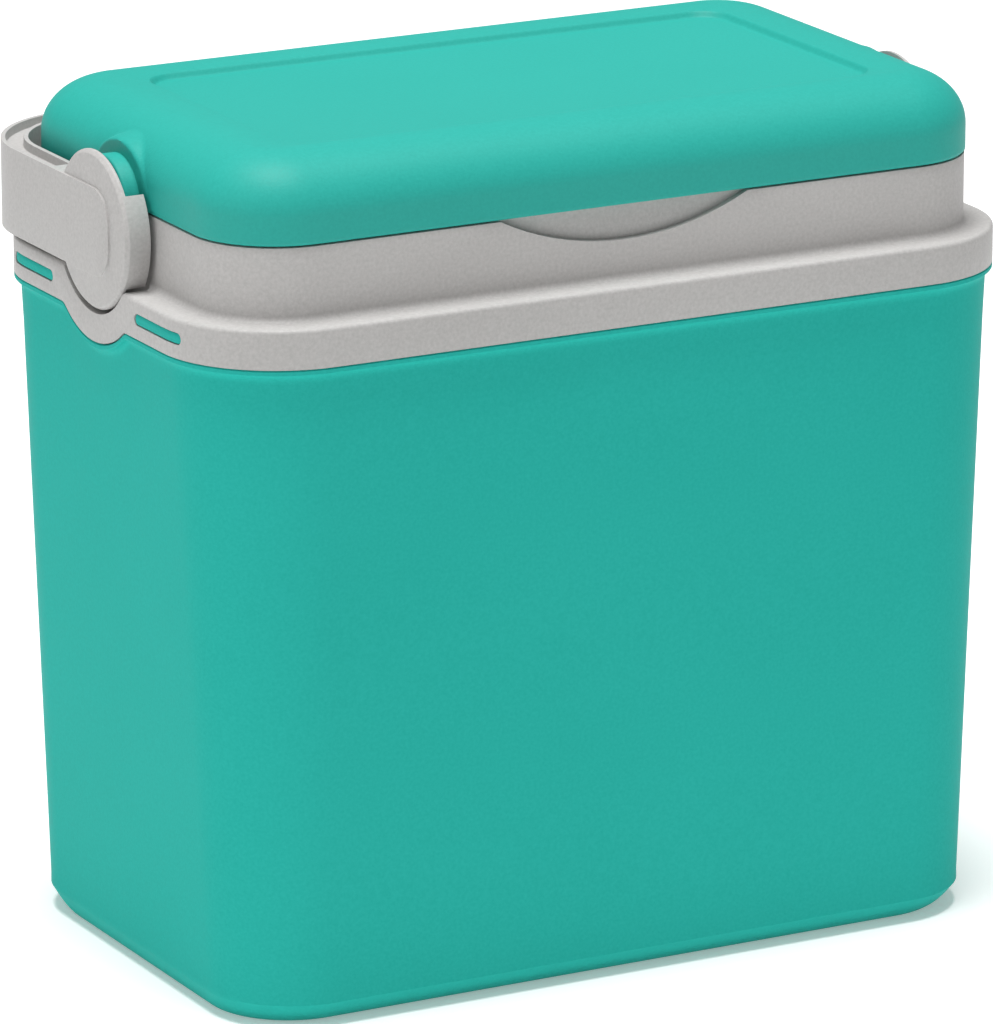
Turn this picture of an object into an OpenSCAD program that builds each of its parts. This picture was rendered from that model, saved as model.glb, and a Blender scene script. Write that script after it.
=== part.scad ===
// Rigid insulated cool box: a tapered outer shell with a clip-on collar, a lift-off lid
// and a bail handle that folds flat to either side and locks the lid when it stands up.
// Millimetres. +X runs along the long side, the front faces -Y, +Z is up,
// and the origin is the middle of the face that the box stands on.

/* [Body] */
// Length of the outer shell at the bottom
base_w = 279; // [272:0.2:286]
// Depth of the outer shell at the bottom
base_d = 174; // [170:0.2:178]
// Corner radius of the outer shell at the bottom
base_r = 30.8; // [26:0.2:34]
// Height of the underside of the rim band
rim_z = 223; // [190:1:240]
// Wall of the outer shell
shell_wall = 2.4; // [1.8:0.1:3]
// Height over which the shell curves in at the bottom
foot_h = 8; // [6:0.5:10]
// Length of the flat face that the box stands on
foot_w = 270.4; // [268:0.2:274]
// Depth of the flat face that the box stands on
foot_d = 157.6; // [155:0.2:164]

/* [Rim and neck] */
// Length over the rim band
rim_w = 302; // [300:0.5:304]
// Depth over the rim band
rim_d = 185.4; // [184:0.2:187]
// Corner radius of the rim band
rim_r = 40.8; // [39:0.2:42]
// Height of the rim band, up to the ledge
rim_h = 13; // [12:0.5:14]
// Length over the neck
neck_w = 281; // [280:0.2:281.4]
// Depth over the neck
neck_d = 164.8; // [163:0.2:166]
// Corner radius of the neck
neck_r = 29; // [26:0.5:31]
// Height of the neck above the ledge
neck_h = 24.3; // [23:0.1:25]
// Wall of the collar
collar_wall = 2.2; // [1.8:0.1:2.4]

/* [Inside] */
// Length of the mouth that things go in through
mouth_w = 259; // [252:1:260]
// Depth of the mouth
mouth_d = 143; // [138:1:144]
// How much narrower the tub is at its floor
tub_taper = 13; // [8:1:18]
// Height of the tub's inside floor
tub_floor_z = 21; // [20:0.5:25]
// Wall of the tub
tub_wall = 2; // [1.5:0.1:2.2]

/* [Lid] */
// Height of the top of the lid above the base
lid_top_z = 287.8; // [285:0.2:290]
// Height of the lid's rounded crown
crown_h = 18; // [15:0.5:19]
// How far the crown runs in from the side
crown_run = 22; // [18:0.5:24]
// Depth of the shallow panel sunk in the top
panel_depth = 1.6; // [1:0.1:2]
// Wall of the lid cover
lid_wall = 2.2; // [1.8:0.1:2.4]

/* [Handle] */
// Height of the handle's turning axis
pivot_z = 252.1; // [251.6:0.1:252.4]
// Radius of the hub disc
hub_r = 26.3; // [26:0.1:26.8]
// Half of the length over the handle
bail_x = 152; // [151.6:0.1:153]
// Reach of the handle from its axis to the outside of the grip
bail_reach = 99.9; // [99:0.1:104]
// Width of the handle's band
bail_h = 29.4; // [26:0.2:29.8]
// Thickness of the handle's band
bail_t = 9.2; // [8:0.1:9.2]
// Wall of the handle's channel
bail_wall = 1.6; // [1.2:0.1:2]
// Radius of the studs that the handle turns on
stud_r = 5.4; // [5:0.1:5.6]

/* [Hidden] */

$fn = 96;
hull_fn = 32;
gap = 0.3;
sliver = 0.02;
teal = "#2FB5A5";
warm_grey = "#B5B3B0";
foam_white = "#F2F2EE";
liner_grey = "#CFCDCA";
seal_grey = "#5A5C5E";

// Body and rim levels
bead_h = 2.2;
tongue_h = 10.6;
ledge_z = rim_z + rim_h;
neck_top_z = ledge_z + neck_h;
wall_top_z = rim_z - bead_h;
top_w = rim_w - 4.8;
top_d = rim_d - 4.8;
top_r = rim_r - 2.4;
foot_r = 28;
foot_curve = [[0, 1], [0.25, 0.56], [0.6, 0.16]];
tub_edge = 3;
board_gap = 2.6;

// Hub pocket in the short sides
pocket_r = hub_r + 1.3;
trough_r = pocket_r + collar_wall;
skirt_r = 35;
skirt_blend = 5;
skirt_z = pivot_z - 2.2;

// Slots in the rim band and the lugs that show in them
slot_from = 30.5;
slot_to = 62;
slot_h = 4;
slot_z = rim_z + 6.5;

// Finger notch in the front of the neck
notch_half = 45.5;
notch_drop = 11.2;
notch_depth = 2.6;
notch_r = (pow(notch_half, 2) + pow(notch_drop, 2)) / (2 * notch_drop);

// Lid levels
lid_w = neck_w + 0.6;
lid_d = neck_d + 0.6;
lid_r = neck_r + 0.3;
lid_edge_z = neck_top_z + 0.6;
crown_z = lid_top_z - crown_h;
hood_r = 23;
hood_z = lid_edge_z - 2.6;
boss_r = 16;
boss_x = 146.5;
panel_w = 214;
panel_d = 106;
panel_r = 9;
panel_y = -4;
panel_run = 3;
plug_w = mouth_w - 7;
plug_d = mouth_d - 7;
plug_r = 16.5;
plug_z = neck_top_z - 17.3;
plug_wall = 2.4;
seal_z = neck_top_z - 10.3;
seal_h = 3;

// Handle
disc_x = bail_x - 0.8;
disc_t = 2.2;
ring_x = 142.6;
ring_gap = 54;
ring_wall = 1.4;
plate_end = 13.7;
plate_corner = 11;
socket_r = 8.2;
bail_r = 41.5;
top_channel = 3;
web_t = 2.4;
rib_pitch = 34;

// Straight line between the sizes at the base and at the rim
function body_w(z) = base_w + (top_w - base_w) * z / rim_z;
function body_d(z) = base_d + (top_d - base_d) * z / rim_z;
function body_r(z) = base_r + (top_r - base_r) * z / rim_z;
function tub_w(z) = mouth_w - tub_taper * (neck_top_z - z) / (neck_top_z - tub_floor_z);
function tub_d(z) = mouth_d - tub_taper * 0.7 * (neck_top_z - z) / (neck_top_z - tub_floor_z);

module rounded_outline(w, d, r) {
    square([w - 2 * r, d], center = true);
    square([w, d - 2 * r], center = true);
    for (x = [-1, 1], y = [-1, 1])
        translate([x * (w / 2 - r), y * (d / 2 - r)])
            circle(r);
}

module rounded_plate(w, d, r, z0, z1) {
    translate([0, 0, z0])
        linear_extrude(z1 - z0)
            rounded_outline(w, d, r);
}

// A thin plate of the body's outline at height z, drawn in by inset
module body_slice(z, inset) {
    rounded_plate(body_w(z) - 2 * inset, body_d(z) - 2 * inset, body_r(z) - inset,
                  z, z + sliver, $fn = hull_fn);
}

module tub_slice(z, grow) {
    r = 14 + 6 * (z - tub_floor_z) / (neck_top_z - tub_floor_z);
    rounded_plate(tub_w(z) + 2 * grow, tub_d(z) + 2 * grow, r + grow, z, z + sliver, $fn = hull_fn);
}

module x_cylinder(r, x0, x1, z = pivot_z) {
    translate([x0, 0, z])
        rotate([0, 90, 0])
            cylinder(r = r, h = x1 - x0);
}

module both_ends() {
    children();
    mirror([1, 0, 0])
        children();
}

// A slot outline in the Y-Z plane, run along X between x0 and x1
module slot_bar(x0, x1, clearance) {
    for (y = [-1, 1])
        translate([x0, 0, slot_z])
            rotate([90, 0, 90])
                linear_extrude(x1 - x0)
                    translate([y * (slot_from + slot_to) / 2, 0])
                        slot_outline(slot_to - slot_from - 2 * clearance, slot_h - 2 * clearance);
}

module slot_outline(length, height) {
    square([length - height, height], center = true);
    for (side = [-1, 1])
        translate([side * (length - height) / 2, 0])
            circle(height / 2);
}

// The outline of the collar's skirt under a hub, seen from the end: a circle that blends
// into the rim's lower edge on both sides. grow moves the outline outwards.
module skirt_outline(grow) {
    radius = skirt_r + grow;
    blend = skirt_blend - grow;
    edge_z = rim_z - grow;
    rise = skirt_z - edge_z + blend;
    blend_y = sqrt(pow(radius + blend, 2) - pow(rise, 2));
    touch_y = blend_y * radius / (radius + blend);
    touch_z = skirt_z - rise * radius / (radius + blend);
    translate([0, skirt_z])
        circle(radius);
    for (side = [0, 1])
        mirror([side, 0])
            difference() {
                polygon([[touch_y - 2, edge_z + 0.5], [touch_y - 2, touch_z], [touch_y, touch_z],
                         [blend_y, edge_z], [blend_y, edge_z + 0.5]]);
                translate([blend_y, edge_z - blend])
                    circle(blend);
            }
}

module skirt(x0, x1, grow) {
    translate([x0, 0, 0])
        rotate([90, 0, 90])
            linear_extrude(x1 - x0)
                skirt_outline(grow);
}

module below(z) {
    translate([-200, -200, z - 400])
        cube(400);
}

module above(z) {
    translate([-200, -200, z])
        cube(400);
}

// ---- Outer shell ----

// The shell's curved lower edge, from the flat face at the bottom up to the straight wall
module foot_slice(z, share, wall) {
    rounded_plate(body_w(z) - share * (base_w - foot_w) - 2 * wall,
                  body_d(z) - share * (base_d - foot_d) - 2 * wall,
                  body_r(z) - share * (base_r - foot_r) - wall, z, z + sliver, $fn = hull_fn);
}

module shell_body() {
    difference() {
        hull() {
            for (step = foot_curve)
                foot_slice(foot_h * step[0], step[1], 0);
            body_slice(foot_h, 0);
            body_slice(wall_top_z - sliver, 0);
        }
        hull() {
            foot_slice(shell_wall, 1, shell_wall);
            body_slice(foot_h + shell_wall, shell_wall);
            body_slice(wall_top_z + 1, shell_wall);
        }
    }
}

// The bead flush with the rim, and the tongue that runs up inside the collar
module shell_lip() {
    inner_w = top_w - 2 * shell_wall;
    inner_d = top_d - 2 * shell_wall;
    inner_r = top_r - shell_wall;
    difference() {
        union() {
            rounded_plate(rim_w, rim_d, rim_r, wall_top_z - sliver, rim_z - 0.1);
            rounded_plate(top_w - 0.2, top_d - 0.2, top_r - 0.1, wall_top_z, rim_z + tongue_h);
            both_ends()
                intersection() {
                    skirt(147.5, rim_w / 2, gap + bead_h);
                    below(rim_z - 0.1);
                }
        }
        rounded_plate(inner_w, inner_d, inner_r, wall_top_z - 1, rim_z + tongue_h + 1);
    }
}

module clip_lugs() {
    both_ends()
        intersection() {
            slot_bar(146.6, rim_w / 2, gap);
            rounded_plate(rim_w - 1.8, rim_d - 1.8, rim_r - 0.9, rim_z, ledge_z);
        }
}

module outer_shell() {
    color(teal) {
        difference() {
            union() {
                shell_body();
                shell_lip();
            }
            both_ends() {
                x_cylinder(trough_r + 0.4, 137, rim_w / 2 + 1);
                skirt(rim_w / 2 - collar_wall - gap, rim_w / 2 + 1, gap);
            }
        }
        clip_lugs();
    }
}

// ---- Collar ----

module collar_wall_ring() {
    difference() {
        union() {
            rounded_plate(rim_w, rim_d, rim_r, rim_z, ledge_z);
            rounded_plate(neck_w, neck_d, neck_r, ledge_z - 1, neck_top_z);
        }
        rounded_plate(rim_w - 2 * collar_wall, rim_d - 2 * collar_wall, rim_r - collar_wall,
                      rim_z - 1, ledge_z - collar_wall);
        rounded_plate(neck_w - 2 * collar_wall, neck_d - 2 * collar_wall, neck_r - collar_wall,
                      rim_z, neck_top_z - collar_wall);
        rounded_plate(mouth_w, mouth_d, 20, rim_z, neck_top_z + 1);
    }
}

// Solid stock around each hub pocket: the trough and the skirt that hangs in front of the shell
module hub_stock() {
    both_ends()
        intersection() {
            union() {
                x_cylinder(trough_r, neck_w / 2 - collar_wall, rim_w / 2);
                skirt(rim_w / 2 - collar_wall, rim_w / 2, 0);
            }
            below(ledge_z);
        }
}

module notch_disc(r, y0, y1) {
    translate([0, -y1, neck_top_z - notch_drop + notch_r])
        rotate([-90, 0, 0])
            cylinder(r = r, h = y1 - y0, $fn = 192);
}

module collar_ring() {
    color(warm_grey)
        difference() {
            union() {
                collar_wall_ring();
                hub_stock();
                intersection() {
                    notch_disc(notch_r + 1.6, neck_d / 2 - notch_depth - 1.6, neck_d / 2 - 1);
                    below(neck_top_z);
                }
            }
            both_ends() {
                x_cylinder(pocket_r, neck_w / 2, rim_w / 2 + 3);
                x_cylinder(stud_r + 0.02, neck_w / 2 - 4, neck_w / 2 + 1);
                slot_bar(144, rim_w / 2 + 1, 0);
            }
            notch_disc(notch_r, neck_d / 2 - notch_depth, neck_d / 2 + 1);
        }
}

// ---- Tub and insulation ----

module inner_tub() {
    flange_z = neck_top_z - collar_wall - 2.2;
    color(liner_grey)
        difference() {
            union() {
                hull() {
                    tub_slice(tub_floor_z - tub_wall, tub_wall - tub_edge);
                    tub_slice(tub_floor_z + tub_edge, tub_wall);
                    tub_slice(flange_z + 2, tub_wall);
                }
                rounded_plate(neck_w - 9, neck_d - 9, neck_r - 4.5, flange_z, flange_z + 2.15);
            }
            hull() {
                tub_slice(tub_floor_z, -tub_edge);
                tub_slice(tub_floor_z + tub_edge, 0);
                tub_slice(neck_top_z, 0);
            }
        }
}

// A board between the tub and the shell: half_in and half_out are its faces at the bottom and the top
module board(length, z0, z1, in0, out0, in1, out1) {
    rotate([90, 0, 90])
        translate([0, 0, -length / 2])
            linear_extrude(length)
                polygon([[in0, z0], [out0, z0], [out1, z1], [in1, z1]]);
}

module long_board() {
    z0 = tub_floor_z - 1.8;
    z1 = rim_z + 8;
    board(208, z0, z1, tub_d(z0) / 2 + board_gap, body_d(z0) / 2 - 3.2,
          tub_d(z1) / 2 + board_gap, body_d(z1) / 2 - 3.4);
}

module short_board() {
    z0 = tub_floor_z - 1.8;
    z1 = rim_z - 5;
    rotate([0, 0, 90])
        board(106, z0, z1, tub_w(z0) / 2 + board_gap, body_w(z0) / 2 - 3.2,
              tub_w(z1) / 2 + board_gap, body_w(z1) / 2 - 3.2);
}

module front_insulation() {
    color(foam_white)
        mirror([0, 1, 0])
            long_board();
}

module rear_insulation() {
    color(foam_white)
        long_board();
}

module left_insulation() {
    color(foam_white)
        short_board();
}

module right_insulation() {
    color(foam_white)
        mirror([1, 0, 0])
            short_board();
}

module floor_insulation() {
    color(foam_white)
        rounded_plate(base_w - 30, base_d - 30, 18, shell_wall + 0.4, tub_floor_z - tub_wall - 0.2);
}

// ---- Studs that the handle turns on ----

module pivot_stud() {
    x_cylinder(stud_r, neck_w / 2 - collar_wall, disc_x - disc_t - 0.6);
    x_cylinder(stud_r + 0.4, neck_w / 2 - collar_wall - 1.8, neck_w / 2 - collar_wall);
}

module left_pivot_stud() {
    color(warm_grey)
        mirror([1, 0, 0])
            pivot_stud();
}

module right_pivot_stud() {
    color(warm_grey)
        pivot_stud();
}

// ---- Lid ----

// A domed block: straight sides, then a quarter ellipse over the edge
module dome(w, d, r, z0, z1, z_top, run) {
    hull() {
        rounded_plate(w, d, r, z0, z1, $fn = hull_fn);
        for (angle = [18 : 18 : 90]) {
            inset = run * (1 - cos(angle));
            level = z1 + (z_top - z1) * sin(angle);
            rounded_plate(w - 2 * inset, d - 2 * inset, r - inset, level - sliver, level, $fn = hull_fn);
        }
    }
}

module lid_panel_cut() {
    floor_z = lid_top_z - panel_depth;
    translate([0, panel_y, 0])
        hull() {
            rounded_plate(panel_w, panel_d, panel_r, floor_z, floor_z + sliver, $fn = hull_fn);
            rounded_plate(panel_w + 2 * panel_run, panel_d + 2 * panel_run, panel_r + panel_run,
                          lid_top_z + 0.1, lid_top_z + 1, $fn = hull_fn);
        }
}

// The hood is a flat arched face in each end of the lid; the boss on it is what the hub locks over
module lid_end_shapes() {
    both_ends()
        intersection() {
            union() {
                x_cylinder(hood_r, 126, 141, hood_z);
                x_cylinder(boss_r, 139, boss_x, lid_edge_z - 0.5);
            }
            above(lid_edge_z);
        }
}

module lid_cover() {
    color(teal)
        difference() {
            union() {
                dome(lid_w, lid_d, lid_r, lid_edge_z, crown_z, lid_top_z, crown_run);
                lid_end_shapes();
            }
            dome(lid_w - 2 * lid_wall, lid_d - 2 * lid_wall, lid_r - lid_wall, lid_edge_z - 1, crown_z,
                 lid_top_z - panel_depth - lid_wall, crown_run - 2);
            lid_panel_cut();
        }
}

module lid_pan() {
    flange_z = neck_top_z + gap;
    color(liner_grey)
        difference() {
            union() {
                rounded_plate(lid_w - 2 * lid_wall - 0.6, lid_d - 2 * lid_wall - 0.6, lid_r - lid_wall - 0.3,
                              flange_z, flange_z + 1.8);
                rounded_plate(plug_w, plug_d, plug_r, plug_z, flange_z + 1);
            }
            rounded_plate(plug_w - 2 * plug_wall, plug_d - 2 * plug_wall, plug_r - plug_wall,
                          plug_z + plug_wall, flange_z + 2);
            difference() {
                rounded_plate(plug_w + 2, plug_d + 2, plug_r + 1, seal_z - 0.05, seal_z + seal_h + 0.05);
                rounded_plate(plug_w - 2, plug_d - 2, plug_r - 1, seal_z - 1, seal_z + seal_h + 1);
            }
        }
}

module lid_insulation() {
    flange_top = neck_top_z + gap + 1.8;
    color(foam_white) {
        rounded_plate(plug_w - 2 * plug_wall - 0.6, plug_d - 2 * plug_wall - 0.6, plug_r - plug_wall - 0.3,
                      plug_z + plug_wall + 0.2, flange_top + 1);
        hull() {
            rounded_plate(lid_w - 8, lid_d - 8, lid_r - 4, flange_top + 0.2, crown_z + 5, $fn = hull_fn);
            rounded_plate(lid_w - 38, lid_d - 38, lid_r - 19, crown_z + 5, lid_top_z - 4.2, $fn = hull_fn);
        }
    }
}

module lid_seal() {
    color(seal_grey)
        difference() {
            rounded_plate(mouth_w - 1.6, mouth_d - 1.6, 19.2, seal_z, seal_z + seal_h);
            rounded_plate(plug_w - 1.9, plug_d - 1.9, plug_r - 0.95, seal_z - 1, seal_z + seal_h + 1);
        }
}

// ---- Handle ----

// The band seen from above, drawn in from its outside by inset
module bail_loop(inset, z0, z1) {
    rounded_plate(2 * (bail_x - inset), 2 * (bail_reach - inset), bail_r - inset, z0, z1);
}

module bail_band() {
    z0 = pivot_z - bail_h / 2;
    z1 = pivot_z + bail_h / 2;
    difference() {
        bail_loop(0, z0, z1);
        bail_loop(bail_t, z0 - 1, z1 + 1);
        difference() {
            bail_loop(bail_wall, z0 - 1, z1 + 1);
            bail_loop(bail_t - bail_wall, z0 - 2, z1 + 2);
            bail_loop(-1, z1 - top_channel - web_t, z1 - top_channel);
            translate([-200, -200, z0 - 2])
                cube([400, 230, 50]);
        }
        translate([-200, -400, z0 - 1])
            cube([400, 400, 50]);
    }
}

// Cross ribs in the hollow underside of the grip
module bail_ribs() {
    z0 = pivot_z - bail_h / 2;
    for (i = [-3 : 3])
        translate([i * rib_pitch - 0.7, bail_reach - bail_t + 0.5, z0 + 2])
            cube([1.4, bail_t - 1, bail_h - top_channel - 3]);
}

// The plate that carries the band over the hub disc and ends past its axis
module arm_plate() {
    half = bail_h / 2;
    translate([disc_x - 0.5, -plate_end + plate_corner, pivot_z - half])
        cube([bail_x - disc_x + 0.5, 46, bail_h]);
    translate([disc_x - 0.5, -plate_end, pivot_z - half + plate_corner])
        cube([bail_x - disc_x + 0.5, 20, bail_h - 2 * plate_corner]);
    for (side = [-1, 1])
        translate([disc_x - 0.5, -plate_end + plate_corner, pivot_z + side * (half - plate_corner)])
            rotate([0, 90, 0])
                cylinder(r = plate_corner, h = bail_x - disc_x + 0.5);
}

// The gaps in the hub's ring, one above and one below the axis, that let the lid boss pass
module ring_gaps() {
    reach = 60;
    half = reach * tan(ring_gap);
    for (side = [-1, 1])
        translate([ring_x - 1, 0, pivot_z])
            rotate([90, 0, 90])
                linear_extrude(disc_x - disc_t - ring_x + 1)
                    polygon([[0, 0], [half, side * reach], [-half, side * reach]]);
}

module hub() {
    difference() {
        union() {
            x_cylinder(hub_r, ring_x, disc_x - 1.2);
            translate([disc_x - 1.2, 0, pivot_z])
                rotate([0, 90, 0])
                    cylinder(r1 = hub_r, r2 = hub_r - 1.2, h = 1.2);
        }
        x_cylinder(hub_r - ring_wall, ring_x - 1, disc_x - disc_t);
        ring_gaps();
    }
    difference() {
        x_cylinder(socket_r, 141.2, disc_x - disc_t + 0.1);
        x_cylinder(stud_r + 0.05, 140, disc_x - disc_t - 0.2);
    }
}

module handle_bail() {
    color(warm_grey) {
        difference() {
            bail_band();
            both_ends()
                x_cylinder(hub_r - 0.8, 140, disc_x);
        }
        bail_ribs();
        both_ends() {
            arm_plate();
            hub();
        }
    }
}

outer_shell();
collar_ring();
inner_tub();
front_insulation();
rear_insulation();
left_insulation();
right_insulation();
floor_insulation();
left_pivot_stud();
right_pivot_stud();
lid_cover();
lid_pan();
lid_insulation();
lid_seal();
handle_bail();
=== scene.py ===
# %% [markdown]
# # A two-colour picnic cool box
# The box is four visible mouldings: a teal shell, a grey collar clipped on to it, a teal lid that
# lifts off, and a grey handle that folds flat. The measured frame already holds every part at its
# true size, so this lesson only adds what moulded plastic looks like close up: rounded edges,
# soft transitions and a fine grain. Loading the frame comes first, because every size is read
# from it.

import math

import bmesh
import bpy
from mathutils import Matrix, Vector


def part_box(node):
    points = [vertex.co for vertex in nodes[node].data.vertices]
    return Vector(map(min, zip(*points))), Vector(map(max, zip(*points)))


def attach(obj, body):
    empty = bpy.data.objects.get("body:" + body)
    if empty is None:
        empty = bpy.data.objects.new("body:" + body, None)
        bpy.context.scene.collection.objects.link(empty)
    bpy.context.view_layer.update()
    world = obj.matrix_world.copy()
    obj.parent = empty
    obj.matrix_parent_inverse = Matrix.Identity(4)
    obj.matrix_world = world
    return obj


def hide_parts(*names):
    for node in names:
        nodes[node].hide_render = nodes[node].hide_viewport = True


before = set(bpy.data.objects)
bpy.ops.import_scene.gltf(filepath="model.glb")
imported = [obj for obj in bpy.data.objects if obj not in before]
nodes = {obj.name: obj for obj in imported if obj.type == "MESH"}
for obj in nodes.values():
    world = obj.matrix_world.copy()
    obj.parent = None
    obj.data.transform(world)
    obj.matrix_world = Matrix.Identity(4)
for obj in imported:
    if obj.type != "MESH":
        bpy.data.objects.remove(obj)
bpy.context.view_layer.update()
MM = 0.001
print("nodes in the frame:", len(nodes))

# %% [markdown]
# ## Sizes read from the frame
# A Blender piece that stands for a CAD node has to fill the same space. Typing the numbers again
# would let the two drift apart, so the main ones are measured on the nodes' own boxes. Only what a
# box can't tell, such as a corner radius, is written here.

# %% Main sizes
collar_low, collar_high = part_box("collar_ring")
lid_low, lid_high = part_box("lid_cover")
RIM_W = collar_high[0] - collar_low[0]
RIM_D = collar_high[1] - collar_low[1]
RIM_R = 40.8 * MM
NECK_H = 24.3 * MM
RIM_H = 13 * MM
LEDGE_Z = collar_high[2] - NECK_H
RIM_Z = LEDGE_Z - RIM_H
LID_EDGE_Z = lid_low[2]
LID_TOP_Z = lid_high[2]
PIVOT_Z = 252.1 * MM
print("rim %.1f x %.1f mm, lid top at %.1f mm" % (RIM_W / MM, RIM_D / MM, LID_TOP_Z / MM))

# %% [markdown]
# ## The camera
# A long lens from three quarters left and a little above keeps the box's verticals nearly parallel.
# The camera is placed by its turn and height angle round a point near the middle of the box, which
# is easier to read than a raw position.

# %% Camera
TURN = math.radians(-28.238)
HEIGHT = math.radians(15.962)
DISTANCE = 2.7246
CENTRE = Vector((0, 0, 0.143))
AIM = Vector((-0.00305, -0.00025, 0.13717))
LENS_MM, SENSOR_MM = 286.07, 36
FARTHEST_VIEW = 60
away = Vector((math.sin(TURN) * math.cos(HEIGHT), -math.cos(TURN) * math.cos(HEIGHT),
               math.sin(HEIGHT)))
camera_data = bpy.data.cameras.new("studio_camera")
camera_data.lens = LENS_MM
camera_data.sensor_width = SENSOR_MM
camera_data.clip_end = FARTHEST_VIEW
camera = bpy.data.objects.new("studio_camera", camera_data)
camera.location = CENTRE + away * DISTANCE
camera.rotation_euler = (AIM - camera.location).to_track_quat("-Z", "Y").to_euler()
bpy.context.collection.objects.link(camera)
bpy.context.scene.camera = camera
print("camera at", [round(c, 3) for c in camera.location])

# %% [markdown]
# ## Helpers for moulded shapes
# Nearly every wall here is a rounded rectangle that changes a little with height. A stack of such
# rings, bridged one to the next, makes any of them. Each ring is a one-face grid whose four
# corner vertices are bevelled, so Blender itself works out the arcs.

# %% Rings and lofts
CORNER_STEPS = 20


def rounded_ring(bm, width, depth, radius, z, centre_y=0.0):
    known = set(bm.faces)
    verts = bmesh.ops.create_grid(bm, x_segments=1, y_segments=1, size=0.5)["verts"]
    bmesh.ops.scale(bm, vec=(width, depth, 1), verts=verts)
    bmesh.ops.translate(bm, vec=(0, centre_y, z), verts=verts)
    bmesh.ops.bevel(bm, geom=verts, offset=radius, offset_type="OFFSET", segments=CORNER_STEPS,
                    profile=0.5, affect="VERTICES", material=-1)
    face = [f for f in bm.faces if f not in known][0]
    edges = list(face.edges)
    bmesh.ops.delete(bm, geom=[face], context="FACES_ONLY")
    return edges


def loft(bm, rings):
    for lower, upper in zip(rings, rings[1:]):
        bmesh.ops.bridge_loops(bm, edges=lower + upper)


def cap(bm, ring):
    bmesh.ops.contextual_create(bm, geom=ring)


def quarter_turn(count):
    """Angles from 0 to 90 degrees, for walls that curve in as they rise."""
    return [math.pi / 2 * i / count for i in range(count + 1)]


def soft_step(share):
    """Goes from 0 to 1 with a level start and a level end."""
    return share * share * (3 - 2 * share)


print("each rounded corner has %d steps" % CORNER_STEPS)

# %% [markdown]
# ## From mesh to piece
# Every visible piece ends the same way: its normals are turned outward, its faces are shaded
# smooth except across real edges, it is tied to the body that it moves with, and the frame part
# that it stands for is hidden. One helper does this, so that no piece forgets a step.

# %% Finish a piece
SHARP_DEG = 35


def finish_piece(bm, name, body, replaced, sharp=SHARP_DEG):
    bmesh.ops.recalc_face_normals(bm, faces=bm.faces)
    mesh = bpy.data.meshes.new(name)
    bm.to_mesh(mesh)
    bm.free()
    mesh.polygons.foreach_set("use_smooth", [True] * len(mesh.polygons))
    mesh.set_sharp_from_angle(angle=math.radians(sharp))
    piece = bpy.data.objects.new(name, mesh)
    bpy.context.collection.objects.link(piece)
    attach(piece, body)
    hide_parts(replaced)
    print("%s: %d faces" % (name, len(mesh.polygons)))
    return piece


print("edges over %d degrees stay sharp" % SHARP_DEG)

# %% [markdown]
# ## The grain of the plastic
# Injection moulds for such boxes are lightly etched, so the plastic has a fine, even grain, a soft
# gloss and a faint mottle where the colour mixed in. A picture texture would need unwrapping; noise
# on object coordinates has the same scale on every piece and needs none. The grain is a bump, and
# the mottle only moves the colour by a few per cent.

# %% Moulded plastic
MOTTLE_SCALE, MOTTLE_DETAIL, MOTTLE_ROUGH = 850, 5, 0.62
CLOUD_SCALE, CLOUD_DETAIL, CLOUD_SHARE = 14, 2, 0.25
ETCH_SCALE, ETCH_DETAIL = 1500, 3
ETCH_STRENGTH, ETCH_DEPTH = 0.55, 0.12 * MM
DARK_END, LIGHT_END = 0.42, 0.82
GLOSS_BELOW, GLOSS_ABOVE = 0.05, 0.07


def noise_node(tree, scale, detail):
    noise = tree.nodes.new("ShaderNodeTexNoise")
    noise.inputs["Scale"].default_value = scale
    noise.inputs["Detail"].default_value = detail
    return noise


def moulded_plastic(name, light, dark, roughness, specular, grain):
    material = bpy.data.materials.new(name)
    material.use_nodes = True
    tree = material.node_tree
    add = tree.nodes.new
    link = tree.links.new
    shader = tree.nodes["Principled BSDF"]
    where = add("ShaderNodeTexCoord")
    mottle = noise_node(tree, MOTTLE_SCALE, MOTTLE_DETAIL)
    mottle.inputs["Roughness"].default_value = MOTTLE_ROUGH
    cloud = noise_node(tree, CLOUD_SCALE, CLOUD_DETAIL)
    etch = noise_node(tree, ETCH_SCALE, ETCH_DETAIL)
    blend = add("ShaderNodeMath")
    blend.operation = "MULTIPLY_ADD"
    blend.inputs[1].default_value = CLOUD_SHARE
    ramp = add("ShaderNodeValToRGB")
    ramp.color_ramp.elements[0].position = DARK_END
    ramp.color_ramp.elements[0].color = (*dark, 1)
    ramp.color_ramp.elements[1].position = LIGHT_END
    ramp.color_ramp.elements[1].color = (*light, 1)
    gloss = add("ShaderNodeMapRange")
    gloss.inputs["To Min"].default_value = roughness - GLOSS_BELOW
    gloss.inputs["To Max"].default_value = roughness + GLOSS_ABOVE
    bump = add("ShaderNodeBump")
    bump.inputs["Strength"].default_value = ETCH_STRENGTH * grain
    bump.inputs["Distance"].default_value = ETCH_DEPTH
    for texture in (mottle, cloud, etch):
        link(where.outputs["Object"], texture.inputs["Vector"])
    link(cloud.outputs["Fac"], blend.inputs[0])
    link(mottle.outputs["Fac"], blend.inputs[2])
    link(blend.outputs["Value"], ramp.inputs["Fac"])
    link(ramp.outputs["Color"], shader.inputs["Base Color"])
    link(mottle.outputs["Fac"], gloss.inputs["Value"])
    link(gloss.outputs["Result"], shader.inputs["Roughness"])
    link(etch.outputs["Fac"], bump.inputs["Height"])
    link(bump.outputs["Normal"], shader.inputs["Normal"])
    shader.inputs["Specular IOR Level"].default_value = specular
    return material


print("grain about %.2f mm across" % (1 / ETCH_SCALE / MM))
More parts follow.
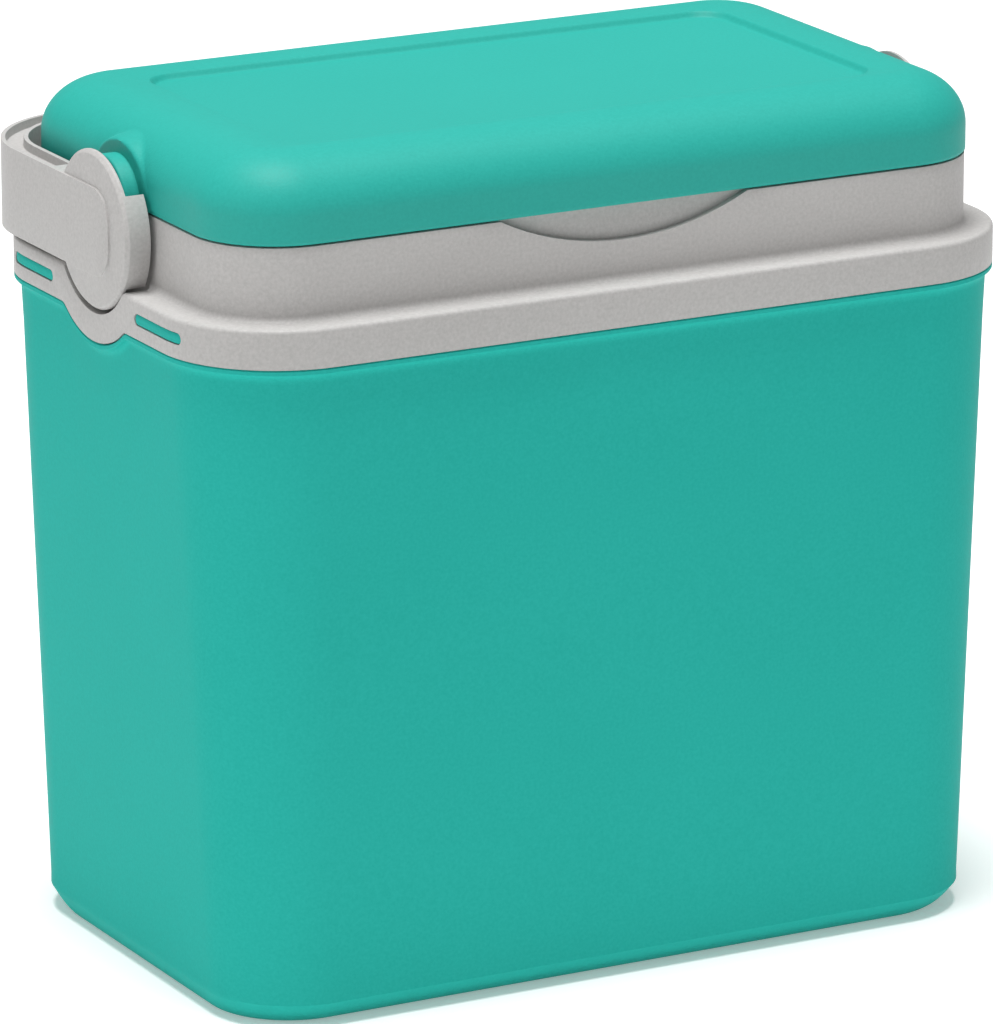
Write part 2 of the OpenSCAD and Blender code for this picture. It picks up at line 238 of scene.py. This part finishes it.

# %% [markdown]
# ## Five plastics
# The shell and the lid are the same teal, but the lid's colour is set a shade darker than the
# shell's; the shell is nearly matt, and the lid keeps a little gloss. Collar and handle share one
# grey. A light and a dark tone for each are enough, since the mottle only moves between the two.

# %% Colours of the plastics
SHELL_LIGHT, SHELL_DARK = (0.027, 0.435, 0.378), (0.021, 0.398, 0.340)
LID_LIGHT, LID_DARK = (0.025, 0.386, 0.331), (0.020, 0.352, 0.299)
GREY_LIGHT, GREY_DARK = (0.500, 0.489, 0.479), (0.418, 0.408, 0.399)
LINER_LIGHT, LINER_DARK = (0.70, 0.69, 0.67), (0.62, 0.61, 0.59)
RUBBER_LIGHT, RUBBER_DARK = (0.10, 0.105, 0.11), (0.07, 0.073, 0.078)
shell_plastic = moulded_plastic("teal_shell_plastic", SHELL_LIGHT, SHELL_DARK,
                                roughness=0.5, specular=0.02, grain=1.0)
lid_plastic = moulded_plastic("teal_lid_plastic", LID_LIGHT, LID_DARK,
                              roughness=0.53, specular=0.2, grain=1.0)
collar_plastic = moulded_plastic("grey_collar_plastic", GREY_LIGHT, GREY_DARK,
                                 roughness=0.46, specular=0.2, grain=1.2)
handle_plastic = moulded_plastic("grey_handle_plastic", GREY_LIGHT, GREY_DARK,
                                 roughness=0.44, specular=0.2, grain=1.2)
liner_plastic = moulded_plastic("liner_plastic", LINER_LIGHT, LINER_DARK,
                                roughness=0.38, specular=0.3, grain=0.5)
print("five plastics made")

# %% [markdown]
# ## The shell's outline
# The shell is one tapered wall. From the ground up it has a flat face, a band that curves out to a
# faint crease, the tall wall, and a bead at the top that sits under the collar. It could be a cube
# with bevels, but the taper, the band and the bead change the outline at many heights, so it is a
# stack of rings. Three helpers give the outline of the foot, the wall and the rim at any height.

# %% Outline at any height
BASE_W, BASE_D, BASE_R = 279 * MM, 174 * MM, 30.8 * MM
FOOT_W, FOOT_D, FOOT_R = 270.4 * MM, 157.6 * MM, 28 * MM
FOOT_H = 8 * MM
TOP_INSET = 2.4 * MM
TOP_W, TOP_D, TOP_R = RIM_W - 2 * TOP_INSET, RIM_D - 2 * TOP_INSET, RIM_R - TOP_INSET


def foot_ring(bm, z, share, wall):
    """The wall's outline drawn in towards the flat face at the bottom: share 1 is that face."""
    up = z / RIM_Z
    return rounded_ring(
        bm, BASE_W + (TOP_W - BASE_W) * up - share * (BASE_W - FOOT_W) - 2 * wall,
        BASE_D + (TOP_D - BASE_D) * up - share * (BASE_D - FOOT_D) - 2 * wall,
        BASE_R + (TOP_R - BASE_R) * up - share * (BASE_R - FOOT_R) - wall, z)


def wall_ring(bm, z, inset):
    return foot_ring(bm, z, 0, inset)


def rim_ring(bm, z, inset):
    return rounded_ring(bm, RIM_W - 2 * inset, RIM_D - 2 * inset, RIM_R - inset, z)


print("the wall widens by %.1f mm from base to top" % ((TOP_W - BASE_W) / MM))

# %% [markdown]
# ## Building the shell
# The rings go up the outside, turn in over the top and come down inside, which gives the wall its
# real thickness. Where the outline changes quickly, at the foot and the bead, the rings
# lie close together; on the plain wall a few are enough.

# %% Shell rings
SHELL_WALL = 2.4 * MM
BEAD_H = 2.3 * MM
COVE_H, COVE_OUT, COVE_STEPS = 3.2 * MM, 1.5 * MM, 6
SOLE_EDGE_Z = 0.25 * MM
SOLE = ((0, 1, 0.7 * MM), (SOLE_EDGE_Z, 0.98, 0.1 * MM))
FOOT_SHARES = (0.9, 0.73, 0.56, 0.41, 0.28, 0.16, 0.07)
FOOT_FILL, FOOT_POWER = 0.96, 1.4
CREASE = ((0.1 * MM, -0.15 * MM), (1.5 * MM, -0.1 * MM), (3.5 * MM, 0))
WALL_LEVELS = (40 * MM, 90 * MM, 140 * MM, 180 * MM, 196 * MM, 206 * MM)
BEAD_RISE = ((0.1 * MM, 0.45 * MM), (0.55 * MM, 0.05 * MM))
BEAD_CLOSE = ((0.6 * MM, 0.05 * MM), (0.15 * MM, 0.5 * MM), (0.15 * MM, 4.8 * MM))
bead_low = RIM_Z - BEAD_H

bm = bmesh.new()
rings = [foot_ring(bm, z, share, inset) for z, share, inset in SOLE]
for share in FOOT_SHARES:
    up = FOOT_H * FOOT_FILL * (1 - share) ** FOOT_POWER
    rings.append(foot_ring(bm, up + SOLE_EDGE_Z, share, 0))
for up, inset in CREASE:
    rings.append(wall_ring(bm, FOOT_H + up, inset))
for level in WALL_LEVELS:
    rings.append(wall_ring(bm, level, 0))
for turn in quarter_turn(COVE_STEPS):
    rings.append(rim_ring(bm, bead_low - COVE_H + COVE_H * math.sin(turn),
                          TOP_INSET - COVE_OUT * (1 - math.cos(turn))))
for up, inset in BEAD_RISE:
    rings.append(rim_ring(bm, bead_low + up, inset))
for down, inset in BEAD_CLOSE:
    rings.append(rim_ring(bm, RIM_Z - down, inset))
rings.append(wall_ring(bm, WALL_LEVELS[-1], SHELL_WALL))
rings.append(wall_ring(bm, FOOT_H + SHELL_WALL, SHELL_WALL))
rings.append(foot_ring(bm, SHELL_WALL, 1, SHELL_WALL))
loft(bm, rings)
cap(bm, rings[0])
cap(bm, rings[-1])
print("shell rings:", len(rings))

# %% [markdown]
# ## The dip under each hub
# At both ends the collar hangs down in a shallow U under the handle's hub, and the bead follows it.
# The end walls are flat there, so sliding their upper vertices down inside the wall changes nothing
# but the bead. First the long end edges are cut into columns, then the columns slide.

# %% Slide the bead down round the hub
DIP_R = 35.2 * MM
DIP_Z = PIVOT_Z - 2.2 * MM
DIP_BLEND = 5 * MM
END_FLAT = RIM_D / 2 - RIM_R
LONG_EDGE, SAME_Z, SAME_X = 50 * MM, 1e-6, 1e-5
SHELL_END_X, SHELL_COLUMNS, SHELL_CUT_Z = 120 * MM, 119, 175 * MM
SLIDE_FROM_Z, SLIDE_RUN = 180 * MM, 30 * MM


def cut_end_columns(bm, cuts, min_x, min_z):
    long_edges = [e for e in bm.edges if abs(e.verts[0].co.x) > min_x
                  and e.calc_length() > LONG_EDGE and e.verts[0].co.z > min_z
                  and abs(e.verts[0].co.z - e.verts[1].co.z) < SAME_Z
                  and abs(e.verts[0].co.x - e.verts[1].co.x) < SAME_X]
    bmesh.ops.subdivide_edges(bm, edges=long_edges, cuts=cuts, use_grid_fill=True)


def dip_at(y):
    """How far the U's outline lies below the rim's lower edge, with a small blend at its ends."""
    y = abs(y)
    rise = DIP_Z - RIM_Z
    blend_y = math.sqrt((DIP_R + DIP_BLEND) ** 2 - (rise + DIP_BLEND) ** 2)
    touch_y = blend_y * DIP_R / (DIP_R + DIP_BLEND)
    if y >= blend_y:
        return 0.0
    if y > touch_y:
        return DIP_BLEND - math.sqrt(DIP_BLEND ** 2 - (blend_y - y) ** 2)
    return math.sqrt(DIP_R ** 2 - y ** 2) - rise


cut_end_columns(bm, SHELL_COLUMNS, SHELL_END_X, SHELL_CUT_Z)
for vert in bm.verts:
    if abs(vert.co.x) > SHELL_END_X and abs(vert.co.y) < END_FLAT:
        fade = min(1.0, max(0.0, (vert.co.z - SLIDE_FROM_Z) / SLIDE_RUN))
        vert.co.z -= dip_at(vert.co.y) * soft_step(fade)
print("the bead dips by %.1f mm under each hub" % (dip_at(0) / MM))

# %% [markdown]
# ## Lugs in the slots
# Four lugs on the shell click into the collar's slots and hold the two together. Seen
# from outside they are teal bars with round ends, a little below the grey face and following it
# round the corner. A short bar is cut into columns first, so that it can bend.

# %% Clip lugs
SLOT_FROM, SLOT_TO = 30.5 * MM, 62 * MM
SLOT_Z = RIM_Z + 6.5 * MM
LUG_LENGTH = SLOT_TO - SLOT_FROM - 0.5 * MM
LUG_H, LUG_T, LUG_SUNK = 3.5 * MM, 3.4 * MM, 0.25 * MM
LUG_ROUND, LUG_END_SHARE, LUG_COLUMNS = 0.5 * MM, 0.98, 8


def rim_x(y, inset):
    """Half the rim's length at y, measured to a line that lies inset below its face."""
    y = abs(y)
    if y <= END_FLAT:
        return RIM_W / 2 - inset
    return RIM_W / 2 - RIM_R + math.sqrt((RIM_R - inset) ** 2 - (y - END_FLAT) ** 2)


def grown_tip(bm, face, shift):
    """Extrude a face by shift, and give back the edges round its far end."""
    grown = bmesh.ops.extrude_face_region(bm, geom=[face])["geom"]
    tip = [g for g in grown if isinstance(g, bmesh.types.BMVert)]
    bmesh.ops.translate(bm, vec=shift, verts=tip)
    return [e for e in bm.edges if e.verts[0] in tip and e.verts[1] in tip]


def clip_lug(bm, side, end):
    known = set(bm.verts)
    grid = bmesh.ops.create_grid(bm, x_segments=1, y_segments=1, size=0.5)["verts"]
    bmesh.ops.scale(bm, vec=(LUG_LENGTH, LUG_H, 1), verts=grid)
    bmesh.ops.bevel(bm, geom=grid, offset=LUG_H / 2 * LUG_END_SHARE, offset_type="OFFSET",
                    segments=8, profile=0.5, affect="VERTICES", material=-1)
    face = [f for f in bm.faces if all(v not in known for v in f.verts)][0]
    rim = grown_tip(bm, face, (0, 0, LUG_T))
    bmesh.ops.bevel(bm, geom=rim, offset=LUG_ROUND, offset_type="OFFSET", segments=2,
                    profile=0.5, affect="EDGES", material=-1)
    for i in range(1, LUG_COLUMNS):
        fresh = {v for v in bm.verts if v not in known}
        geom = [v for v in bm.verts if v in fresh]
        geom += [g for g in bm.edges[:] + bm.faces[:] if all(v in fresh for v in g.verts)]
        bmesh.ops.bisect_plane(bm, geom=geom, plane_no=(1, 0, 0),
                               plane_co=(LUG_LENGTH * (i / LUG_COLUMNS - 0.5), 0, 0))
    for vert in bm.verts:
        if vert not in known:
            along, up, out = vert.co
            y = end * ((SLOT_FROM + SLOT_TO) / 2 + along)
            vert.co = (side * (rim_x(y, LUG_SUNK) - LUG_T + out), y, SLOT_Z + up)


for side in (-1, 1):
    for end in (-1, 1):
        clip_lug(bm, side, end)
shell = finish_piece(bm, "shell_moulding", "base", "outer_shell")
shell.data.materials.append(shell_plastic)

# %% [markdown]
# ## Softening the frame's own shapes
# Collar and handle are full of slots, pockets and steps that have to line up with the other parts,
# and the frame has them exactly. What it lacks is the small radius that every moulded edge has. So
# each is copied, its doubled points are merged and its flat faces are joined. Then the sharp edges
# are bevelled in passes, the widest first, and a test picks the edges of each pass.

# %% Soften a copy of a frame part
MERGE_GAP = 2e-6
FLAT_DEG = 0.6


def softened(node, passes):
    bm = bmesh.new()
    bm.from_mesh(nodes[node].data)
    bmesh.ops.remove_doubles(bm, verts=bm.verts, dist=MERGE_GAP)
    bmesh.ops.dissolve_limit(bm, angle_limit=math.radians(FLAT_DEG), verts=bm.verts,
                             edges=bm.edges, use_dissolve_boundaries=False)
    for width, segments, wanted in passes:
        edges = [e for e in bm.edges if len(e.link_faces) == 2
                 and e.calc_face_angle(0) > math.radians(SHARP_DEG) and wanted(e)]
        bmesh.ops.bevel(bm, geom=edges, offset=width, offset_type="OFFSET", segments=segments,
                        profile=0.5, affect="EDGES", clamp_overlap=True, loop_slide=True,
                        material=-1)
        print("  %s: %d edges softened by %.1f mm" % (node, len(edges), width / MM))
    bmesh.ops.triangulate(bm, faces=[f for f in bm.faces if len(f.verts) > 4])
    return bm


print("faces under %.1f degrees apart are joined" % FLAT_DEG)

# %% [markdown]
# ## Which edges get which radius
# Two places on the collar are rounder than the rest: the inner corner where the neck rises from
# the ledge, and the ledge's outer edge. Picking edges by where they lie, rather than by number,
# still works when the frame is built again.

# %% Tests that pick edges
NECK_W, NECK_D, NECK_R = 281 * MM, 164.8 * MM, 29 * MM
POCKET_Y, NECK_END_X = 29 * MM, 130 * MM
SAME_LEVEL, ON_NECK, ON_OUTLINE = 0.05 * MM, 0.6 * MM, 0.3 * MM


def middle(edge):
    return (edge.verts[0].co + edge.verts[1].co) / 2


def outline_gap(x, y, width, depth, radius):
    """Distance from a point to a rounded rectangle's outline."""
    over_x = max(abs(x) - (width / 2 - radius), 0)
    over_y = max(abs(y) - (depth / 2 - radius), 0)
    if over_x and over_y:
        return abs(math.hypot(over_x, over_y) - radius)
    return abs(max(over_x, over_y) - radius)


def ledge_corner(edge):
    """The inner corner where the neck rises from the ledge, but not at the hubs' pockets."""
    x, y, z = middle(edge)
    return (abs(z - LEDGE_Z) < SAME_LEVEL and outline_gap(x, y, NECK_W, NECK_D, NECK_R) < ON_NECK
            and (abs(y) > POCKET_Y or abs(x) < NECK_END_X))


def ledge_edge(edge):
    """The ledge's outer edge, all round except inside the hubs' pockets."""
    x, y, z = middle(edge)
    return (abs(z - LEDGE_Z) < SAME_LEVEL and abs(y) > POCKET_Y
            and outline_gap(x, y, RIM_W, RIM_D, RIM_R) < ON_OUTLINE)


def every_edge(edge):
    return True


print("neck %.1f x %.1f mm" % (NECK_W / MM, NECK_D / MM))

# %% [markdown]
# ## Collar and handle
# With the helper and the tests ready, each moulding is one list of passes: a radius, the number of
# steps in it, and the test. Half a millimetre on every other edge is what a mould cutter
# leaves, and it is what catches a thin line of light.

# %% Soft collar and handle
FINE_PASS = (0.5 * MM, 3, every_edge)
BEVELLED_SHARP_DEG = 45
collar_passes = [(2.2 * MM, 4, ledge_corner), (1.3 * MM, 4, ledge_edge), FINE_PASS]
collar = finish_piece(softened("collar_ring", collar_passes), "collar_moulding", "base",
                      "collar_ring", BEVELLED_SHARP_DEG)
collar.data.materials.append(collar_plastic)
handle = finish_piece(softened("handle_bail", [FINE_PASS]), "handle_moulding", "handle",
                      "handle_bail", BEVELLED_SHARP_DEG)
handle.data.materials.append(handle_plastic)

# %% [markdown]
# ## The lid
# The lid is a shallow dome: a straight skirt, a crown that is a quarter of an ellipse, a flat top
# and a sunken panel with soft sides. The same stack of rings makes it, with the panel's rings
# shifted a little to the front. Then it turns in at the bottom edge and runs up inside. Two rings
# never lie at the same height one inside the other, because bridging such a pair can twist.

# %% Lid rings
LID_W = 281.6 * MM
LID_D = lid_high[1] - lid_low[1]
LID_R = 29.3 * MM
LID_WALL = 2.2 * MM
LIP_H, LIP_STEP, SKIRT_ROWS = 0.5 * MM, 0.1 * MM, 8
CROWN_RUN, CROWN_H, CROWN_ROWS = 22 * MM, 18 * MM, 44
CROWN_Z = LID_TOP_Z - CROWN_H
PANEL_OUTER = (219.4 * MM, 111.4 * MM, 12 * MM)
PANEL_INNER = (214.4 * MM, 106.4 * MM, 9.5 * MM)
PANEL_Y, PANEL_DEPTH, PANEL_ROWS = -4 * MM, 2 * MM, 10
PANEL_RING_GAP = 0.03 * MM
INSIDE_RUN, INSIDE_ROWS = CROWN_RUN - 2 * MM, 8
LID_END_X, LID_COLUMNS = 117 * MM, 139


def lid_ring(bm, z, inset):
    return rounded_ring(bm, LID_W - 2 * inset, LID_D - 2 * inset, LID_R - inset, z)


bm = bmesh.new()
skirt_low = LID_EDGE_Z + LIP_H
rings = []
for i in range(SKIRT_ROWS + 1):
    rings.append(lid_ring(bm, skirt_low + (CROWN_Z - skirt_low) * i / SKIRT_ROWS, 0))
for turn in quarter_turn(CROWN_ROWS)[1:]:
    rings.append(lid_ring(bm, CROWN_Z + CROWN_H * math.sin(turn),
                          CROWN_RUN * (1 - math.cos(turn))))
for i in range(PANEL_ROWS + 1):
    share = i / PANEL_ROWS
    width, depth, radius = [a + (b - a) * share for a, b in zip(PANEL_OUTER, PANEL_INNER)]
    rings.append(rounded_ring(bm, width, depth, radius,
                              LID_TOP_Z - PANEL_RING_GAP - PANEL_DEPTH * soft_step(share),
                              PANEL_Y))
loft(bm, rings)
cap(bm, rings[-1])
inner = [rings[0], lid_ring(bm, LID_EDGE_Z, LIP_H), lid_ring(bm, LID_EDGE_Z + LIP_STEP, LID_WALL),
         lid_ring(bm, CROWN_Z, LID_WALL)]
for turn in quarter_turn(INSIDE_ROWS)[1:]:
    inner.append(lid_ring(bm, CROWN_Z + (CROWN_H - PANEL_DEPTH - LID_WALL) * math.sin(turn),
                          LID_WALL + INSIDE_RUN * (1 - math.cos(turn))))
loft(bm, inner)
cap(bm, inner[-1])
cut_end_columns(bm, LID_COLUMNS, LID_END_X, 0)
print("lid rings:", len(rings) + len(inner))

# %% [markdown]
# ## Hoods on the lid's ends
# Each end of the lid carries a flat arched face that stands proud of the crown like a hood. It
# grows out of the dome with a soft edge, so it is sculpted rather than joined on: vertices inside
# the arch move out to the flat face, and a smooth maximum blends the border.

# %% Sculpt the hood
HOOD_R, HOOD_X = 23 * MM, 141 * MM
HOOD_Z = LID_EDGE_Z - 2.6 * MM
HOOD_REACH, HOOD_EDGE = 3 * MM, 0.8 * MM
HOOD_FALL, HOOD_EASE, HOOD_BLEND = 2.6 * MM, 0.35, 0.9 * MM
HOOD_MIN_X, HOOD_MIN_Z = 118 * MM, LID_EDGE_Z + 0.4 * MM
SKIN = 0.3 * MM


def smooth_max(a, b, soft):
    h = max(soft - abs(a - b), 0) / soft
    return max(a, b) + h * h * soft / 4


def dome_x(z):
    """Half the dome's length at a height, before the hood is added."""
    level = (z - CROWN_Z) / CROWN_H
    run = CROWN_RUN * (1 - math.sqrt(max(0, 1 - level * level))) if level > 0 else 0
    return LID_W / 2 - run


moved = 0
for vert in bm.verts:
    x, y, z = vert.co
    reach = math.hypot(y, z - HOOD_Z)
    on_end = (abs(x) > HOOD_MIN_X and z > HOOD_MIN_Z and reach < HOOD_R + HOOD_REACH
              and abs(abs(x) - dome_x(z)) < SKIN)
    if on_end:
        fall = max(0, reach - (HOOD_R - HOOD_EDGE)) / MM
        hood_x = HOOD_X - HOOD_FALL * fall * fall / (1 + fall * HOOD_EASE)
        vert.co.x = math.copysign(smooth_max(dome_x(z), hood_x, HOOD_BLEND), x)
        moved += 1
print("vertices in the two hoods:", moved)

# %% [markdown]
# ## Bosses and finished lid
# On each hood sits a half-round boss, which the hub of the handle closes over when the handle
# stands up. A disc is cut in half, drawn out and bevelled. Its flat cut faces down, level with
# the lid's edge.

# %% Boss and finished lid
BOSS_R, BOSS_TIP_X, BOSS_ROOT_X = 16 * MM, 146.5 * MM, 139.5 * MM
BOSS_SIDES, BOSS_ROUND = 96, 0.9 * MM
BOSS_AXIS_Z, BOSS_CUT_Z = LID_EDGE_Z - 0.5 * MM, LID_EDGE_Z + 0.1 * MM
LID_SHARP_DEG = 50


def half_boss(bm, side):
    known = set(bm.verts)
    bmesh.ops.create_circle(bm, cap_ends=True, radius=BOSS_R, segments=BOSS_SIDES,
                            matrix=Matrix.Translation((side * BOSS_ROOT_X, 0, BOSS_AXIS_Z))
                            @ Matrix.Rotation(math.pi / 2, 4, "Y"))
    verts = [v for v in bm.verts if v not in known]
    faces = list({f for v in verts for f in v.link_faces})
    edges = list({e for v in verts for e in v.link_edges})
    bmesh.ops.bisect_plane(bm, geom=verts + edges + faces, plane_co=(0, 0, BOSS_CUT_Z),
                           plane_no=(0, 0, -1), clear_outer=True)
    face = [f for f in bm.faces if all(v not in known for v in f.verts)][0]
    rim = grown_tip(bm, face, (side * (BOSS_TIP_X - BOSS_ROOT_X), 0, 0))
    bmesh.ops.bevel(bm, geom=rim, offset=BOSS_ROUND, offset_type="OFFSET", segments=3,
                    profile=0.5, affect="EDGES", material=-1)


for side in (-1, 1):
    half_boss(bm, side)
lid = finish_piece(bm, "lid_moulding", "lid", "lid_cover", LID_SHARP_DEG)
lid.data.materials.append(lid_plastic)

# %% [markdown]
# ## Foam and rubber
# Between the shell and the tub is foam made of small beads pressed together, and the lid's seal is
# a dark rubber ring. Cells of a Voronoi texture look like the beads, and painted shade darkens the
# gaps between them, so the foam needs no modelling; the rubber is one more moulded plastic with a
# dull surface.

# %% Foam and rubber materials
BEAD_SCALE, BEAD_DEPTH, BEAD_STRENGTH = 260, 0.6 * MM, 0.6
# The second tone is painted shade: the ramp darkens each bead towards its border, where the bump
# sinks the gaps between beads.
BEAD_LIGHT, BEAD_GAP_SHADE = (0.93, 0.93, 0.91, 1), (0.78, 0.78, 0.76, 1)
FOAM_ROUGH = 0.9


def beaded_foam():
    material = bpy.data.materials.new("beaded_foam")
    material.use_nodes = True
    tree = material.node_tree
    link = tree.links.new
    shader = tree.nodes["Principled BSDF"]
    where = tree.nodes.new("ShaderNodeTexCoord")
    beads = tree.nodes.new("ShaderNodeTexVoronoi")
    beads.inputs["Scale"].default_value = BEAD_SCALE
    ramp = tree.nodes.new("ShaderNodeValToRGB")
    ramp.color_ramp.elements[0].color = BEAD_LIGHT
    ramp.color_ramp.elements[1].color = BEAD_GAP_SHADE
    bump = tree.nodes.new("ShaderNodeBump")
    bump.inputs["Distance"].default_value = BEAD_DEPTH
    bump.inputs["Strength"].default_value = BEAD_STRENGTH
    bump.invert = True
    link(where.outputs["Object"], beads.inputs["Vector"])
    link(beads.outputs["Distance"], ramp.inputs["Fac"])
    link(beads.outputs["Distance"], bump.inputs["Height"])
    link(ramp.outputs["Color"], shader.inputs["Base Color"])
    link(bump.outputs["Normal"], shader.inputs["Normal"])
    shader.inputs["Roughness"].default_value = FOAM_ROUGH
    return material


foam = beaded_foam()
seal_rubber = moulded_plastic("seal_rubber", RUBBER_LIGHT, RUBBER_DARK,
                              roughness=0.7, specular=0.3, grain=0.8)
print("foam beads about %.1f mm across" % (1 / BEAD_SCALE / MM))

# %% [markdown]
# ## The parts inside
# The tub, the lid's pan, the seal, the studs and the foam keep their frame shapes, which are
# already right. Most are seen only when the lid is off. Each one only gets its own finish.

# %% Finishes for the inner parts
finishes = {"inner_tub": liner_plastic, "lid_pan": liner_plastic, "lid_seal": seal_rubber,
            "left_pivot_stud": collar_plastic, "right_pivot_stud": collar_plastic}
replaced_nodes = ("outer_shell", "collar_ring", "handle_bail", "lid_cover")
kept_nodes = [name for name in nodes if name not in replaced_nodes]
for name in kept_nodes:
    nodes[name].data.materials.clear()
    nodes[name].data.materials.append(finishes.get(name, foam))
print("inner parts finished:", len(kept_nodes))

# %% [markdown]
# ## The floor
# A plain pale floor keeps the plastic's own colour. The paper gives off a little light of its own,
# which keeps it white where the lamps fall off and fills the sides of the box from below.

# %% Floor
FLOOR_HALF = 14
PAPER_GREY, PAPER_ROUGH, PAPER_GLOW = 0.93, 0.9, 0.25
bm = bmesh.new()
bmesh.ops.create_grid(bm, x_segments=1, y_segments=1, size=FLOOR_HALF)
floor_mesh = bpy.data.meshes.new("studio_floor")
bm.to_mesh(floor_mesh)
bm.free()
floor = bpy.data.objects.new("studio_floor", floor_mesh)
bpy.context.collection.objects.link(floor)
paper = bpy.data.materials.new("white_paper")
paper.use_nodes = True
paper_inputs = paper.node_tree.nodes["Principled BSDF"].inputs
paper_inputs["Base Color"].default_value = (PAPER_GREY, PAPER_GREY, PAPER_GREY, 1)
paper_inputs["Roughness"].default_value = PAPER_ROUGH
paper_inputs["Emission Color"].default_value = (1, 1, 1, 1)
paper_inputs["Emission Strength"].default_value = PAPER_GLOW
floor_mesh.materials.append(paper)
print("floor %d m across" % (2 * FLOOR_HALF))

# %% [markdown]
# ## The light
# Large soft lamps give even plastic the slow shading that shows its form. The largest lamp hangs
# above, because the top of the lid is the brightest face; a second stands to the left. A weak white
# world fills the shadows.

# %% Light
WORLD_STRENGTH = 0.25
world = bpy.data.worlds.new("studio_world")
bpy.context.scene.world = world
world.use_nodes = True
background = world.node_tree.nodes["Background"].inputs
background["Color"].default_value = (1, 1, 1, 1)
background["Strength"].default_value = WORLD_STRENGTH


def soft_lamp(name, place, size, power):
    data = bpy.data.lights.new(name, "AREA")
    data.shape = "DISK"
    data.size = size
    data.energy = power
    lamp = bpy.data.objects.new(name, data)
    lamp.location = place
    lamp.rotation_euler = (CENTRE - Vector(place)).to_track_quat("-Z", "Y").to_euler()
    bpy.context.collection.objects.link(lamp)
    print("%s: %d W" % (name, power))


soft_lamp("top_lamp", place=(-0.25, -0.14, 4.0), size=1.8, power=190)
soft_lamp("left_lamp", place=(-3.6, -0.6, 1.6), size=2.4, power=16)
bpy.context.scene.view_settings.view_transform = "Standard"
